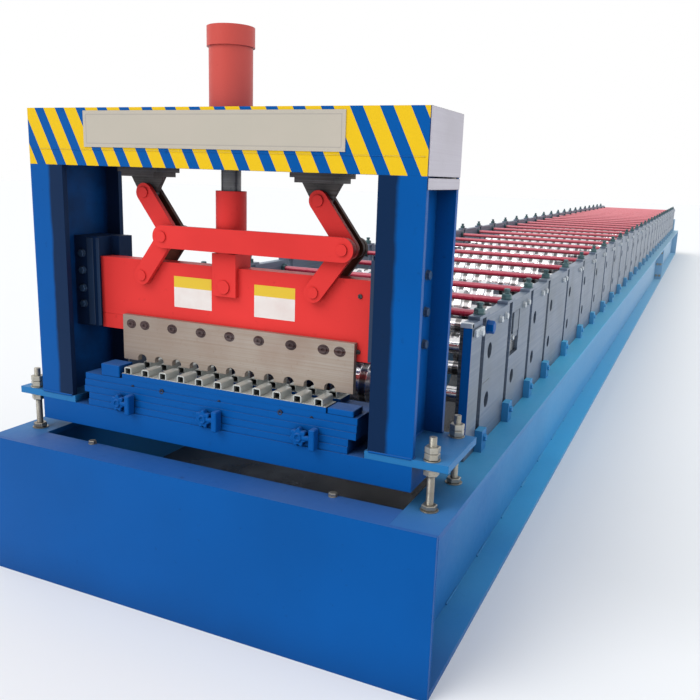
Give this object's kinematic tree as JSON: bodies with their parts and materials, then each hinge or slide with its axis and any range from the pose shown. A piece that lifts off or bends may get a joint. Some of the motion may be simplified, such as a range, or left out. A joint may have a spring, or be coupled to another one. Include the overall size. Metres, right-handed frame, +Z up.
{
  "type": "roll forming machine",
  "caption": "Long roll forming line for ribbed metal sheet, on a deep steel base with roll stands on both sides and a hydraulic guillotine frame at its exit",
  "frame": {"origin": "on the floor under the middle of the base", "axes": "+X right as seen facing the exit end, +Y back along the line towards the infeed, +Z up"},
  "size_m": [1.71, 17, 1.925],
  "materials": {
    "blue_paint": "semi-gloss machine blue enamel",
    "red_paint": "semi-gloss red enamel",
    "ground_steel": "surface-ground plate",
    "roll_chrome": "hard-chromed, polished",
    "tool_steel": "ground tool steel, lightly browned",
    "zinc": "zinc-plated fasteners",
    "pale_plate": "plain pale enamel, blank"
  },
  "bodies": {
    "frame": {"base_side_beams": "blue_paint", "base_front_plate": "blue_paint", "base_rear_plate": "blue_paint", "base_cross_members": "blue_paint", "base_oil_tray": "blue_paint", "stand_rails": "ground_steel", "stand_plates": "ground_steel", "stand_foot_brackets": "blue_paint", "stand_tie_rods": "red_paint", "stand_top_bars": "ground_steel", "adjusting_screws": "zinc", "upper_rolls": "roll_chrome", "lower_rolls": "roll_chrome", "shear_posts": "blue_paint", "shear_top_beam": "blue_paint", "sign_plate": "pale_plate", "shear_cross_beam": "blue_paint", "shear_foot_plates": "blue_paint", "levelling_rods": "zinc", "levelling_nuts": "zinc", "cylinder_barrel": "red_paint", "lower_dies": "tool_steel", "die_holder": "blue_paint", "die_end_blocks": "blue_paint", "die_clamps": "blue_paint", "guide_rails": "blue_paint", "toggle_lugs": "blue_paint", "toggle_top_pins": "zinc", "infeed_table": "ground_steel", "infeed_table_frame": "blue_paint"},
    "ram": {"ram_beam": "red_paint", "ram_clevis": "red_paint", "clevis_pin": "zinc", "ram_sleeve": "red_paint", "piston_rod": "roll_chrome", "upper_blade": "tool_steel"},
    "upper_link_left": {"upper_link_left": "red_paint", "knee_pin_left": "zinc"},
    "upper_link_right": {"upper_link_right": "red_paint", "knee_pin_right": "zinc"},
    "lower_link_left": {"lower_link_left": "red_paint", "bottom_pin_left": "zinc"},
    "lower_link_right": {"lower_link_right": "red_paint", "bottom_pin_right": "zinc"},
    "connecting_bar": {"connecting_bar": "red_paint"}
  },
  "joints": [
    {"name": "ram_slide", "type": "slide", "parent": "frame", "child": "ram", "axis": [0, 0, -1], "range_m": [0, 0.04]},
    {"name": "upper_link_left_pivot", "type": "hinge", "parent": "frame", "child": "upper_link_left", "pos_m": [-0.334, -8.214, 1.407], "axis": [0, 1, 0], "range_deg": [0, 13.07]},
    {"name": "upper_link_right_pivot", "type": "hinge", "parent": "frame", "child": "upper_link_right", "pos_m": [0.334, -8.214, 1.407], "axis": [0, 1, 0], "range_deg": [0, 13.07]},
    {"name": "lower_link_left_knee", "type": "hinge", "parent": "upper_link_left", "child": "lower_link_left", "pos_m": [-0.228, -8.214, 1.266], "axis": [0, -1, 0], "range_deg": [0, 26.14]},
    {"name": "lower_link_right_knee", "type": "hinge", "parent": "upper_link_right", "child": "lower_link_right", "pos_m": [0.44, -8.214, 1.266], "axis": [0, -1, 0], "range_deg": [0, 26.14]},
    {"name": "connecting_bar_knee", "type": "hinge", "parent": "upper_link_left", "child": "connecting_bar", "pos_m": [-0.228, -8.279, 1.266], "axis": [0, -1, 0], "range_deg": [0, 13.07]}
  ],
  "couplings": [
    {"joint": "upper_link_left_pivot", "follows": "ram_slide", "rad_per_m": 5.5919},
    {"joint": "upper_link_right_pivot", "follows": "ram_slide", "rad_per_m": 5.5919},
    {"joint": "lower_link_left_knee", "follows": "ram_slide", "rad_per_m": 11.184},
    {"joint": "lower_link_right_knee", "follows": "ram_slide", "rad_per_m": 11.184},
    {"joint": "connecting_bar_knee", "follows": "ram_slide", "rad_per_m": 5.5919}
  ]
}
